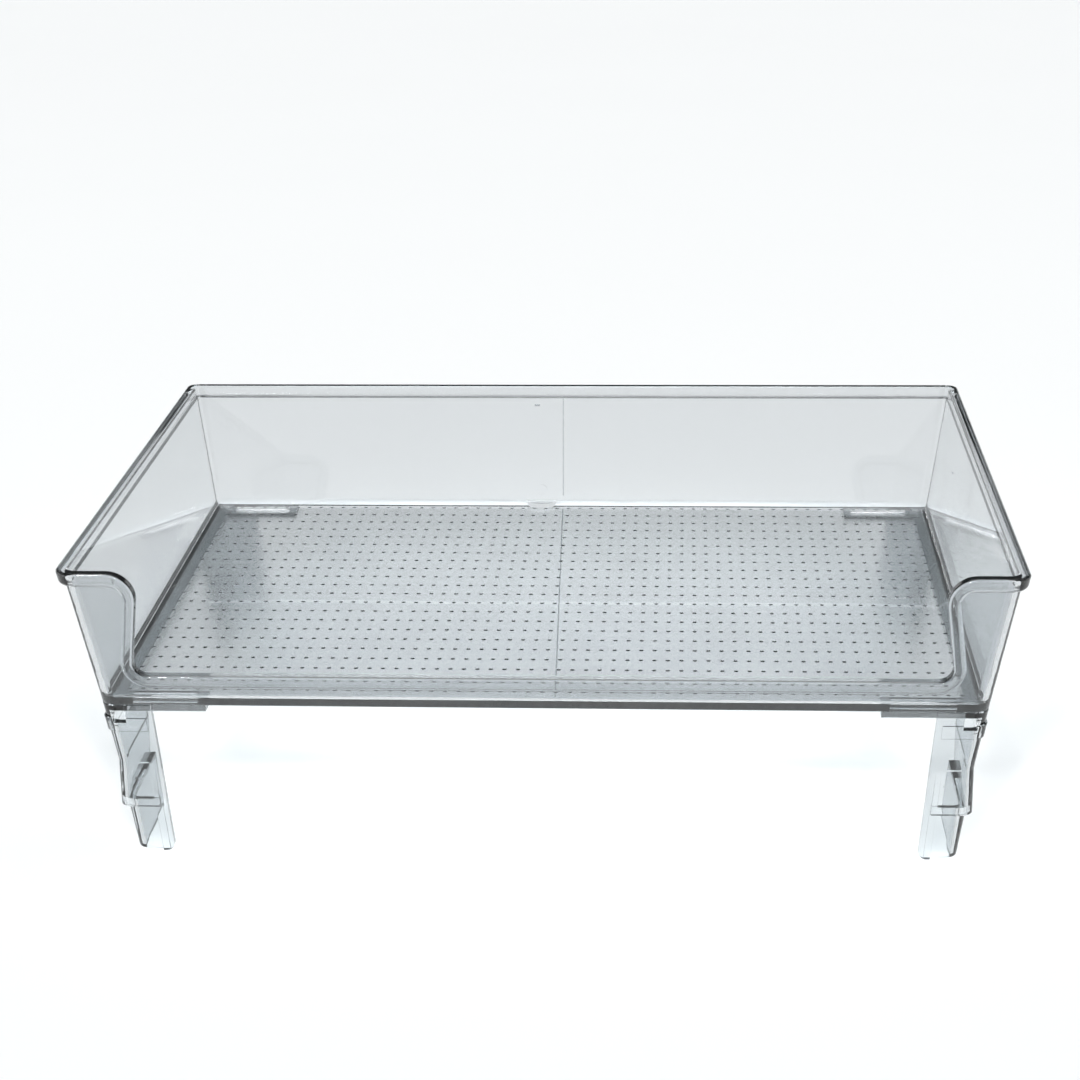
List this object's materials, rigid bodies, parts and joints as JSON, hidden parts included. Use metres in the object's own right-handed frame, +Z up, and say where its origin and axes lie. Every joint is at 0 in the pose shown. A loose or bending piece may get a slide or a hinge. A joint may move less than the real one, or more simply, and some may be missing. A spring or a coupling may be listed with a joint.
{
  "type": "landscape letter tray",
  "caption": "Clear moulded landscape letter tray with a flanged rim and low front lip, standing on two arched side supports that unclip.",
  "frame": {"origin": "middle of the rim's footprint, on the desk plane under the feet", "axes": "+Z up, +X to the right seen from the front, -Y towards the low front opening"},
  "size_m": [0.3396, 0.2517, 0.113],
  "materials": {
    "clear_polystyrene": "injection moulded, polished, clear with a faint blue-grey cast"
  },
  "bodies": {
    "tray": {"tray": "clear_polystyrene"},
    "left_support": {"left_side_support": "clear_polystyrene"},
    "right_support": {"right_side_support": "clear_polystyrene"}
  },
  "joints": [
    {"name": "left_support_release", "type": "slide", "parent": "tray", "child": "left_support", "axis": [0, 0, -1], "range_m": [0, 0.03]},
    {"name": "right_support_release", "type": "slide", "parent": "tray", "child": "right_support", "axis": [0, 0, -1], "range_m": [0, 0.03]}
  ]
}
